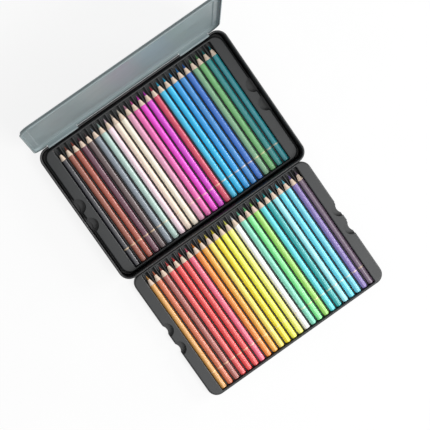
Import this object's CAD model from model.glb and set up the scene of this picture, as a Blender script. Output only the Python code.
# %% [markdown]
# # An open tin of coloured pencils
#
# The packed model gives every piece its real size and place: a drawn steel tin with a hinged
# lid, two formed trays and the pencils. This script dresses it. The sheet-metal and formed
# pieces keep their shape and get their finishes here. The pencils are made again as finer
# surfaces, because their points, paint edges and dipped ends are what the eye goes to first.

# %% Load the packed model
import math

import bpy
import numpy as np
from mathutils import Matrix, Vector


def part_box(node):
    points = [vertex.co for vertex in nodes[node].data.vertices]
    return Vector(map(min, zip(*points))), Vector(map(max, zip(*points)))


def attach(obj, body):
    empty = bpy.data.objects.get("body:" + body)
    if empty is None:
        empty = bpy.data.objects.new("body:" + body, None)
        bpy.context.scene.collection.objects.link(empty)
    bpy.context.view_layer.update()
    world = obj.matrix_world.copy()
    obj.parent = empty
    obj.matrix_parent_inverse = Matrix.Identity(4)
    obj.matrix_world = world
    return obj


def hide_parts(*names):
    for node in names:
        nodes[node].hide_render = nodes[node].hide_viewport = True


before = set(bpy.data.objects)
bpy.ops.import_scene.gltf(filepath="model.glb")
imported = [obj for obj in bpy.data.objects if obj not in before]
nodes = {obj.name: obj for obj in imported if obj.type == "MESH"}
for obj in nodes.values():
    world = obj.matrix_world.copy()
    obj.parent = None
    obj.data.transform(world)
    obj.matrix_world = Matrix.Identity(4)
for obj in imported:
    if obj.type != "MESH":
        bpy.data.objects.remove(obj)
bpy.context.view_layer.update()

# %% [markdown]
# ## The camera
#
# The picture is taken from nearly straight above, about two metres up, with a long lens, so
# that the tin hardly narrows with distance. Its place was found by matching the tin's rims,
# the trays' edges and the rows of pencil points with the photograph. Turning the camera about
# its own axis puts the tin aslant in the frame. The camera could be aimed with a constraint,
# but three plain turns, one after another, can be read and changed by themselves.

# %% Camera
MM = 0.001
LOOK_AT = np.array([0.4, -92.9, 13.0]) * MM
CAMERA_DISTANCE = 2.1
TILT_X, TILT_Y, TURN = math.radians(-6.15), math.radians(-3.0), math.radians(-35.22)
PHOTO_PX, SENSOR_MM, FOCAL_PX = 430, 36.0, 1670.5
FARTHEST_SEEN = 20


def turn_about(axis, angle):
    """Rotation matrix about the x, y or z axis, by the usual cosines and sines."""
    c, s = math.cos(angle), math.sin(angle)
    i, j = {"x": (1, 2), "y": (2, 0), "z": (0, 1)}[axis]
    m = np.eye(3)
    m[i, i] = m[j, j] = c
    m[i, j], m[j, i] = -s, s
    return m


turn = turn_about("x", TILT_X) @ turn_about("y", TILT_Y) @ turn_about("z", TURN)
pose = np.eye(4)
pose[:3, :3] = turn
pose[:3, 3] = LOOK_AT + turn @ np.array([0, 0, CAMERA_DISTANCE])
camera = bpy.data.objects.new("camera", bpy.data.cameras.new("camera"))
camera.data.sensor_width = SENSOR_MM
camera.data.lens = FOCAL_PX * SENSOR_MM / PHOTO_PX
camera.data.clip_end = FARTHEST_SEEN
camera.matrix_world = Matrix(pose.tolist())
bpy.context.collection.objects.link(camera)
bpy.context.scene.camera = camera
print("lens", round(camera.data.lens, 1), "mm, at", np.round(pose[:3, 3], 3))

# %% [markdown]
# ## Building a material from nodes
#
# Every finish here starts from the same small helper. It makes a Principled shader with plain
# numbers on its sockets, and has one short method for each thing that a finish needs: noise,
# a range, a mix of two colours, relief. Painted images would need every piece unwrapped and
# would show seams. Patterns worked out by nodes need neither. All of them are read in object
# coordinates, so they stay on the piece when it moves, and their grain is in millimetres.

# %% Material helper
MIX_FACTOR, MIX_FIRST, MIX_SECOND, MIX_RESULT = 0, 6, 7, 2    # a colour Mix node's sockets


class Finish:
    """A material with a Principled shader, and short ways to add patterns to it."""

    def __init__(self, name, **sockets):
        self.material = bpy.data.materials.new(name)
        self.material.use_nodes = True
        self.tree = self.material.node_tree
        self.shader = self.tree.nodes["Principled BSDF"]
        for socket, value in sockets.items():
            title = socket.replace("_", " ").title().replace("Ior", "IOR")
            self.shader.inputs[title].default_value = value
        self.place = self.add("ShaderNodeTexCoord").outputs["Object"]

    def add(self, kind, **settings):
        """A new node, with its settings."""
        node = self.tree.nodes.new(kind)
        for key, value in settings.items():
            setattr(node, key, value)
        return node

    def join(self, output, socket):
        """Links an output to an input."""
        self.tree.links.new(output, socket)

    def drive(self, socket, output):
        """Lets a pattern set one of the shader's sockets."""
        self.join(output, self.shader.inputs[socket])

    def stretched(self, sx, sy, sz):
        """Object coordinates scaled by a factor on each axis."""
        mapping = self.add("ShaderNodeMapping")
        mapping.inputs["Scale"].default_value = (sx, sy, sz)
        self.join(self.place, mapping.inputs["Vector"])
        return mapping.outputs["Vector"]

    def noise(self, grain_mm, detail=3, place=None):
        """Noise from 0 to 1 whose lumps are about grain_mm across."""
        node = self.add("ShaderNodeTexNoise")
        node.inputs["Scale"].default_value = 1 / (grain_mm * MM)
        node.inputs["Detail"].default_value = detail
        self.join(place or self.place, node.inputs["Vector"])
        return node.outputs["Fac"]

    def ramp(self, value, low, high, start=0.35, end=0.65):
        """A number that runs from low to high while value runs from start to end."""
        node = self.add("ShaderNodeMapRange")
        limits = {"From Min": start, "From Max": end, "To Min": low, "To Max": high}
        for socket, number in limits.items():
            node.inputs[socket].default_value = number
        self.join(value, node.inputs["Value"])
        return node.outputs["Result"]

    def mix(self, factor, first, second):
        """A colour between two. The factor is an output, and so may a colour be."""
        node = self.add("ShaderNodeMix", data_type="RGBA")
        self.join(factor, node.inputs[MIX_FACTOR])
        for number, colour in ((MIX_FIRST, first), (MIX_SECOND, second)):
            if isinstance(colour, bpy.types.NodeSocket):
                self.join(colour, node.inputs[number])
            else:
                node.inputs[number].default_value = colour
        return node.outputs[MIX_RESULT]

    def bump(self, height, strength, depth_mm):
        """Relief on the surface, depth_mm deep where height is 1."""
        node = self.add("ShaderNodeBump")
        node.inputs["Strength"].default_value = strength
        node.inputs["Distance"].default_value = depth_mm * MM
        self.join(height, node.inputs["Height"])
        self.drive("Normal", node.outputs["Normal"])


print("methods:", [name for name in vars(Finish) if not name.startswith("_")])

# %% [markdown]
# ## Colours and material slots
#
# Shaders work in linear light, while colours are judged on a screen, whose numbers follow a
# curve. A colour is therefore written as it looks on the screen, from 0 to 255, and turned
# into linear light once. A piece then gets its materials in a fixed order, and each face says
# by its number which of them it wears.

# %% Colour helpers and dressing
def linear(r, g, b):
    """A screen colour from 0 to 255 as the linear light that shaders use.

    Below 0.04045 the curve is a straight line, c / 12.92, and above it a power of 2.4."""
    c = np.array([r, g, b]) / 255
    c = np.where(c <= 0.04045, c / 12.92, ((c + 0.055) / 1.055) ** 2.4)
    return (*[float(v) for v in c], 1.0)


def shade(colour, factor):
    """The same colour, darker or lighter by a factor."""
    return (*[min(1.0, v * factor) for v in colour[:3]], 1.0)


def dress(piece, *materials):
    """Gives a piece these materials in place of what it had, each face keeping its number."""
    numbers = np.zeros(len(piece.data.polygons), dtype=np.int32)
    piece.data.polygons.foreach_get("material_index", numbers)
    piece.data.materials.clear()
    for material in materials:
        piece.data.materials.append(material)
    numbers = np.minimum(numbers, len(materials) - 1)
    piece.data.polygons.foreach_set("material_index", numbers)


print("half of the screen's range is", round(linear(128, 128, 128)[0], 3), "of the light")

# %% [markdown]
# ## The lacquered steel
#
# The base is stove-enamelled black inside and out, and the lid has a cool grey lacquer. Sprayed
# lacquer is never quite flat: it has a very shallow orange-peel relief, and its gloss drifts a
# little from place to place. A fine second noise stands for dust and handling. A clear coat
# could be laid over it too, but this lacquer is satin, and one soft sheen comes closer.

# %% Black and grey lacquer
def lacquered_steel(name, colour, roughness, peel_mm, drift=0.12):
    """Satin lacquer whose tone drifts up and down by a share, with specks and orange peel."""
    finish = Finish(name, base_color=colour, roughness=roughness, specular_ior_level=0.5)
    clouds = finish.noise(grain_mm=35, detail=4)
    specks = finish.noise(grain_mm=0.9, detail=2)
    tone = finish.mix(finish.ramp(clouds, low=0, high=1),
                      shade(colour, 1 - drift), shade(colour, 1 + drift))
    dusty = finish.mix(finish.ramp(specks, low=0, high=0.35, start=0.6, end=0.8),
                       tone, shade(colour, 1.6))
    finish.drive("Base Color", dusty)
    finish.drive("Roughness", finish.ramp(clouds, low=roughness - 0.05, high=roughness + 0.07))
    finish.bump(finish.noise(peel_mm, detail=2), strength=0.25, depth_mm=0.03)
    return finish.material


black_lacquer = lacquered_steel("black_lacquer", linear(25, 26, 27), 0.4, peel_mm=1.6)
grey_lacquer = lacquered_steel("grey_lacquer", linear(134, 147, 149), 0.45, peel_mm=1.4,
                               drift=0.04)
dress(nodes["base"], black_lacquer)
dress(nodes["lid"], grey_lacquer)
print("base:", black_lacquer.name, "lid:", grey_lacquer.name)

# %% [markdown]
# ## The formed trays
#
# A tray is one sheet of dark grey plastic, sucked down hot over a mould. The mould's fine
# sand-blasted grain shows on the sheet as a soft sheen. The sheet pales a little where it was
# stretched, so its tone wanders slowly over the flange. One fine noise drives both gloss and
# relief, because on the real sheet both come from the same grain.

# %% Tray plastic
def formed_plastic(name, colour):
    """Satin plastic: a slow drift of tone, and one grain for gloss and relief."""
    finish = Finish(name, base_color=colour, roughness=0.45, specular_ior_level=0.5)
    stretch = finish.noise(grain_mm=28, detail=3)
    grain = finish.noise(grain_mm=0.35, detail=2)
    tone = finish.mix(finish.ramp(stretch, low=0, high=1), shade(colour, 0.88), shade(colour, 1.12))
    finish.drive("Base Color", tone)
    finish.drive("Roughness", finish.ramp(grain, low=0.38, high=0.52))
    finish.bump(grain, strength=0.3, depth_mm=0.02)
    return finish.material


tray_plastic = formed_plastic("tray_plastic", linear(33, 35, 36))
for tray in ("lower_tray", "upper_tray"):
    dress(nodes[tray], tray_plastic)
print("trays:", tray_plastic.name)

# %% [markdown]
# ## The pencils' colours
#
# Each pencil is lacquered in the colour of its core. Wet lacquer looks a little lighter and
# cleaner than the waxy core behind it, so the core is the same colour, darker. The colours are
# plain mixes, chosen to the nearest ten, because a set of pencils runs from hue to hue in even
# steps and nobody can see a finer one.

# %% Colour table
LACQUERS = {
    "black": (20, 20, 30), "sienna": (150, 80, 60), "terracotta": (170, 80, 60),
    "plum_brown": (100, 50, 70), "umber": (90, 70, 70), "slate_grey": (130, 140, 150),
    "sage": (180, 210, 200), "blush": (250, 220, 230), "peach": (250, 230, 210),
    "cream": (250, 240, 220), "rose": (230, 160, 190), "deep_rose": (240, 100, 180),
    "magenta": (240, 60, 210), "fuchsia": (220, 60, 210), "crimson": (210, 60, 90),
    "azure": (40, 190, 230), "cerulean": (10, 190, 240), "cobalt": (20, 160, 230),
    "ultramarine": (50, 140, 210), "royal_blue": (40, 110, 200), "grey_green": (120, 170, 130),
    "moss": (110, 180, 110), "viridian": (30, 140, 140), "deep_teal": (30, 140, 150),
    "golden_yellow": (220, 160, 80), "vermilion": (210, 110, 70), "coral": (170, 90, 80),
    "scarlet": (230, 80, 80), "red": (230, 60, 60), "ruby": (230, 70, 70),
    "watermelon": (240, 100, 130), "orange": (240, 140, 40), "apricot": (240, 170, 50),
    "amber": (250, 230, 100), "yellow": (250, 230, 40), "lemon": (250, 250, 80),
    "pale_yellow": (250, 250, 120), "white": (250, 250, 250), "mint": (130, 220, 190),
    "green": (130, 240, 150), "lime": (160, 220, 100), "turquoise": (90, 220, 230),
    "pine": (20, 170, 170), "pale_blue": (160, 240, 250), "sky_blue": (100, 220, 240),
    "cyan": (110, 210, 230), "violet": (130, 110, 180), "aubergine": (120, 100, 120),
}
print("colours:", len(LACQUERS))

# %% [markdown]
# ## Lacquer and core
#
# A pencil is dipped in lacquer several times, so it has a gloss of its own over the colour.
# That is what a clear coat does: a second highlight above the first. The lacquer runs off
# lengthways, so its noise is stretched along the pencil. The core is pigment bound in wax. The
# sharpener's blade goes around it, so its scratches are squeezed the other way.

# %% Pencil lacquer and core
# Below 1 the noise is stretched along the pencil, above 1 it is squeezed.
ALONG_THE_PENCIL = {"lacquer": 0.15, "core": 4, "wood": 0.12}


def pencil_lacquer(name, colour):
    """Clear-coated lacquer with a faint ripple and a few dull rubbed places."""
    finish = Finish("lacquer_" + name, base_color=colour, roughness=0.4,
                    coat_weight=0.9, coat_roughness=0.24)
    lengthways = finish.stretched(1, ALONG_THE_PENCIL["lacquer"], 1)
    cloud = finish.noise(grain_mm=3, place=lengthways)
    tone = finish.mix(finish.ramp(cloud, low=0, high=1), shade(colour, 0.95), shade(colour, 1.05))
    finish.drive("Base Color", tone)
    finish.drive("Roughness", finish.ramp(finish.noise(grain_mm=6), low=0.34, high=0.48))
    finish.bump(finish.noise(grain_mm=1.2, detail=2, place=lengthways), strength=0.08,
                depth_mm=0.02)
    return finish.material


def waxy_core(name, colour):
    """Pigment bound in wax: the lacquer's colour, darker and scratched by the sharpener."""
    finish = Finish("core_" + name, base_color=shade(colour, 0.55), roughness=0.5)
    crossways = finish.stretched(1, ALONG_THE_PENCIL["core"], 1)
    scratches = finish.noise(grain_mm=0.4, place=crossways)
    tone = finish.mix(finish.ramp(scratches, low=0, high=1),
                      shade(colour, 0.42), shade(colour, 0.68))
    finish.drive("Base Color", tone)
    finish.bump(scratches, strength=0.4, depth_mm=0.04)
    return finish.material


print("noise along the pencil is scaled by", ALONG_THE_PENCIL)

# %% [markdown]
# ## Bare wood and foil
#
# The sharpened cone shows light wood whose grain runs along the pencil, so the noise is
# stretched lengthways. The thin ring near the end is hot-stamped foil. It is so thin that it
# wears through to the lacquer, so its colour is mixed with the lacquer's where a noise is high.

# %% Wood and foil
def bare_wood():
    """Pale softwood: two tones in a long grain, with relief along the same grain."""
    finish = Finish("bare_wood", base_color=linear(244, 220, 198), roughness=0.6,
                    specular_ior_level=0.3)
    lengthways = finish.stretched(1, ALONG_THE_PENCIL["wood"], 1)
    grain = finish.noise(grain_mm=0.5, detail=4, place=lengthways)
    tone = finish.mix(finish.ramp(grain, low=0, high=1),
                      linear(240, 214, 192), linear(250, 230, 210))
    finish.drive("Base Color", tone)
    finish.bump(grain, strength=0.35, depth_mm=0.05)
    return finish.material


def stamped_foil(name, colour):
    """Thin pale gold, worn through in places so that the lacquer under it shows."""
    finish = Finish("foil_" + name, roughness=0.38, metallic=0.3)
    gold = linear(225, 200, 165)
    worn = finish.ramp(finish.noise(grain_mm=0.7), low=0.35, high=0.75, start=0.4, end=0.7)
    finish.drive("Base Color", finish.mix(worn, gold, colour))
    return finish.material


wood = bare_wood()
print("shared by all pencils:", wood.name)

# %% [markdown]
# ## The profile of a pencil
#
# A round pencil is a surface of revolution, so a short list of distances and radii describes
# it: the dipped end with its soft edge, the long body with a stamped ring, the step where the
# paint was cut away, the ground cone and the blunted core. It could be turned with a Screw
# modifier, but the rings also have to know whether they are lacquer, foil, wood or core, and
# in a list each ring can say so. Its length and thickness are those of the packed pencil.

# %% Pencil profile
low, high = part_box("pencil_black")
RADIUS = round((high[0] - low[0]) / 2 / MM, 2)
LENGTH = round((high[1] - low[1]) / MM, 2)
POINT, CORE, PAINT = 14.7, 1.75, 0.06     # the cone's length, the core's radius, the paint
END_ROUND, END_DOME = 1.2, 0.1            # the dipped end's edge and the height of its dome
RING_AT, RING_WIDTH = 24.0, 2.0           # the foil, from the dipped end
CREASE = 0.05                             # between two rings at a sharp change of finish
LACQUER, FOIL, WOOD, LEAD = range(4)


def pencil_profile():
    """Each ring's distance from the dipped end and radius in mm, share of wander, and material.

    The dipped end is a shallow dome d high, inside a rounding e that is a quarter of an
    ellipse: the radius is R - e + e * sin(t) at the distance d + (e - d) * (1 - cos(t)). The
    cone's radius falls in a straight line from R at the shoulder to 0 at the tip. The wood
    lies a hair below that line, and the last millimetre is blunt. A ring's material is that
    of the faces from it to the next."""
    shoulder = LENGTH - POINT
    slope = RADIUS / POINT
    core_from = LENGTH - CORE / slope
    flat = RADIUS - END_ROUND
    hair = 0.01
    rows = [(0.0, 0.0, 0, LACQUER), (0.02, 1.0, 0, LACQUER), (0.06, flat - 0.3, 0, LACQUER)]
    for t in np.linspace(0, 1, 8) * math.pi / 2:
        distance = END_DOME + (END_ROUND - END_DOME) * (1 - math.cos(t))
        rows.append((distance, flat + END_ROUND * math.sin(t), 0, LACQUER))
    behind_ring = [2, 6, 12, 18, RING_AT - 1, RING_AT - CREASE]
    before_ring = np.linspace(RING_AT + RING_WIDTH, shoulder - 4, 12)
    rows += [(x, RADIUS, 0, LACQUER) for x in behind_ring]
    rows += [(x, RADIUS, 0, FOIL) for x in (RING_AT, RING_AT + RING_WIDTH / 2)]
    rows += [(x, RADIUS, 0, LACQUER) for x in before_ring]
    rows += [(x, RADIUS, 1, LACQUER) for x in (shoulder - 0.6, shoulder - CREASE)]
    rows += [(shoulder, RADIUS - PAINT, 1, WOOD)]
    for x in np.linspace(shoulder + 0.8, core_from - 0.5, 6):
        rows.append((x, (LENGTH - x) * slope - hair, 0.2, WOOD))
    rows += [(core_from, CORE, 0.6, WOOD), (core_from + CREASE, CORE - 0.03, 0.6, LEAD)]
    for x in np.linspace(core_from + 0.8, LENGTH - 1.1, 4):
        rows.append((x, (LENGTH - x) * slope, 0, LEAD))
    rows += [(LENGTH - 0.5, 0.2, 0, LEAD), (LENGTH - 0.15, 0.14, 0, LEAD)]
    rows += [(LENGTH, 0.0, 0, LEAD)]
    return [np.array(column) for column in zip(*rows)]


print("pencil:", RADIUS * 2, "by", LENGTH, "mm, rings:", len(pencil_profile()[0]))

# %% [markdown]
# ## From profile to surface
#
# The profile is carried around the pencil's axis on a grid of rings and angles, worked out as
# whole arrays. Neighbours on the grid make four-sided faces, and a fan of triangles closes each
# end. The two cut edges wander by a fraction of a millimetre, because no sharpener runs quite
# true, and each pencil draws its own wander from its own seed.

# %% Pencil surface
SIDES = 48
LONG_WAVE, SHORT_WAVE = 0.15, 0.07        # heights in mm of the 2 and 5 waves around an edge


def ring_faces(rings):
    """Faces of a tube of rings: quads between rings, and a fan to a point at each end.

    Point j of ring i has the number i * SIDES + j. The back end's point and the tip's come
    after all rings."""
    back, tip, last = rings * SIDES, rings * SIDES + 1, (rings - 1) * SIDES
    i, j = np.meshgrid(np.arange(rings - 1), np.arange(SIDES), indexing="ij")
    here, beside = i * SIDES + j, i * SIDES + (j + 1) % SIDES
    quads = np.stack([here, here + SIDES, beside + SIDES, beside], axis=-1).reshape(-1, 4)
    j = np.arange(SIDES)
    k = (j + 1) % SIDES
    back_fan = np.stack([np.full(SIDES, back), j, k], axis=-1)
    tip_fan = np.stack([last + j, np.full(SIDES, tip), last + k], axis=-1)
    return quads.tolist() + back_fan.tolist() + tip_fan.tolist()


def pencil_mesh(name, low, high, seed):
    """Grid of rings and angles: point = axis + radius * (cos a, sin a), at its distance along +Y.

    The wander of a cut edge is the sum of a long and a short wave, each at a random turn."""
    along, radius, wander, kind = (column[:, None] for column in pencil_profile())
    angle = np.arange(SIDES)[None, :] / SIDES * 2 * math.pi
    phase = np.random.default_rng(seed).uniform(0, 2 * math.pi, 2)
    wave = LONG_WAVE * np.cos(2 * angle + phase[0]) + SHORT_WAVE * np.cos(5 * angle + phase[1])
    centre_x, centre_z = (low[0] + high[0]) / 2, (low[2] + high[2]) / 2
    x = centre_x + MM * radius * np.cos(angle)
    y = low[1] + MM * (along + wander * wave)
    z = centre_z + MM * radius * np.sin(angle)
    rings = np.stack([x, y, z], axis=-1)[1:-1]
    ends = [[centre_x, low[1], centre_z], [centre_x, high[1], centre_z]]
    faces = ring_faces(len(rings))
    mesh = bpy.data.meshes.new(name)
    mesh.from_pydata(rings.reshape(-1, 3).tolist() + ends, [], faces)
    face_kind = np.concatenate([np.repeat(kind[1:-2], SIDES),
                                np.full(SIDES, LACQUER), np.full(SIDES, LEAD)])
    mesh.polygons.foreach_set("material_index", face_kind.astype(np.int32))
    mesh.polygons.foreach_set("use_smooth", np.ones(len(faces), dtype=bool))
    mesh.update()
    return mesh


print("faces of a pencil:", len(ring_faces(len(pencil_profile()[0]) - 2)))

# %% [markdown]
# ## Laying the pencils in their places
#
# Each finished pencil is built where its packed pencil lies, and rides on the same body, so it
# moves with it. The packed one stays behind it for weight and contact, and is no longer seen.

# %% Make the pencils
for seed, (colour_name, rgb) in enumerate(LACQUERS.items()):
    node = "pencil_" + colour_name
    name = node + "_finished"
    piece = bpy.data.objects.new(name, pencil_mesh(name, *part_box(node), seed))
    bpy.context.collection.objects.link(piece)
    colour = linear(*rgb)
    dress(piece, pencil_lacquer(colour_name, colour), stamped_foil(colour_name, colour), wood,
          waxy_core(colour_name, colour))
    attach(piece, node)
    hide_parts(node)
print("pencils:", len(LACQUERS), "of", len(piece.data.polygons), "faces each")

# %% [markdown]
# ## The table
#
# The table is white and runs on past the picture. Lit harder, it would turn white, but so would
# the light pencils. So most of its white is its own, and only for rays that come straight from
# the camera, a mirror or glass. The rest is lit like any surface, and takes the shadows.

# %% Table
TABLE_REACH = 6.0
TABLE_OWN_WHITE = 0.85


def seen_directly(tree):
    """1 for rays from the camera, a reflection or glass, and 0 for light that spreads."""
    path = tree.nodes.new("ShaderNodeLightPath")
    last = path.outputs["Is Camera Ray"]
    for ray in ("Is Glossy Ray", "Is Transmission Ray"):
        either = tree.nodes.new("ShaderNodeMath")
        either.operation = "MAXIMUM"
        tree.links.new(last, either.inputs[0])
        tree.links.new(path.outputs[ray], either.inputs[1])
        last = either.outputs[0]
    return last


def table_material():
    """Matt white mixed with a white glow of its own, by a share for rays seen directly."""
    finish = Finish("table_white", base_color=linear(250, 250, 250), roughness=0.8)
    speck = finish.noise(grain_mm=60, detail=2)
    finish.drive("Base Color", finish.mix(finish.ramp(speck, low=0, high=1),
                                          linear(249, 249, 249), linear(252, 252, 252)))
    glow = finish.add("ShaderNodeEmission")
    share = finish.add("ShaderNodeMath", operation="MULTIPLY")
    share.inputs[1].default_value = TABLE_OWN_WHITE
    blend = finish.add("ShaderNodeMixShader")
    finish.join(seen_directly(finish.tree), share.inputs[0])
    finish.join(share.outputs[0], blend.inputs[0])
    finish.join(finish.shader.outputs[0], blend.inputs[1])
    finish.join(glow.outputs[0], blend.inputs[2])
    finish.join(blend.outputs[0], finish.tree.nodes["Material Output"].inputs["Surface"])
    return finish.material


corners = [(x * TABLE_REACH, y * TABLE_REACH, 0) for x, y in ((-1, -1), (1, -1), (1, 1), (-1, 1))]
table_mesh = bpy.data.meshes.new("table")
table_mesh.from_pydata(corners, [], [(0, 1, 2, 3)])
table = bpy.data.objects.new("table", table_mesh)
bpy.context.collection.objects.link(table)
dress(table, table_material())
print("table:", 2 * TABLE_REACH, "m wide")

# %% [markdown]
# ## Lamps and sky
#
# One wide soft lamp stands low on the right and draws the long bright line on each pencil. A
# second one stands high in front and lights the inside of the lid and the flanges. An even
# white sky fills the shadows. A shadow is the softer, the larger its lamp looks from the tin, so
# the lamp that is farther away is also the wider one.

# %% Lamps and sky
SKY_LIGHT, SKY_SEEN = 0.36, 1.0
TIN = (0, -0.1, 0)                        # what the lamps are turned to


def soft_lamp(name, place, size, power):
    """A square area lamp at a place, turned to face the tin.

    Its axes are the unit vector away from the tin, a level one across it, and their product."""
    data = bpy.data.lights.new(name, "AREA")
    data.size, data.energy = size, power
    lamp = bpy.data.objects.new(name, data)
    away = np.array(place, float) - np.array(TIN, float)
    away /= np.linalg.norm(away)
    side = np.cross([0, 0, 1], away)
    side /= np.linalg.norm(side)
    turned = np.eye(4)
    turned[:3, :] = np.column_stack([side, np.cross(away, side), away, place])
    lamp.matrix_world = Matrix(turned.tolist())
    bpy.context.collection.objects.link(lamp)


soft_lamp("right_lamp", (3.5, -0.87, 1.15), size=1.8, power=93)
soft_lamp("high_lamp", (0.6, -1.2, 2.2), size=1.2, power=34)

sky = bpy.data.worlds.new("sky")
sky.use_nodes = True
bpy.context.scene.world = sky
background = sky.node_tree.nodes["Background"]
background.inputs["Color"].default_value = (1, 1, 1, 1)
strength = sky.node_tree.nodes.new("ShaderNodeMapRange")
strength.inputs["To Min"].default_value = SKY_LIGHT
strength.inputs["To Max"].default_value = SKY_SEEN
sky.node_tree.links.new(seen_directly(sky.node_tree), strength.inputs["Value"])
sky.node_tree.links.new(strength.outputs["Result"], background.inputs["Strength"])
bpy.context.scene.view_settings.view_transform = "Standard"

# %% [markdown]
# ## Sizes and finish
#
# The box of the finished object is written beside that of the packed model, to show that the
# dressing has changed no size.


print("size written")
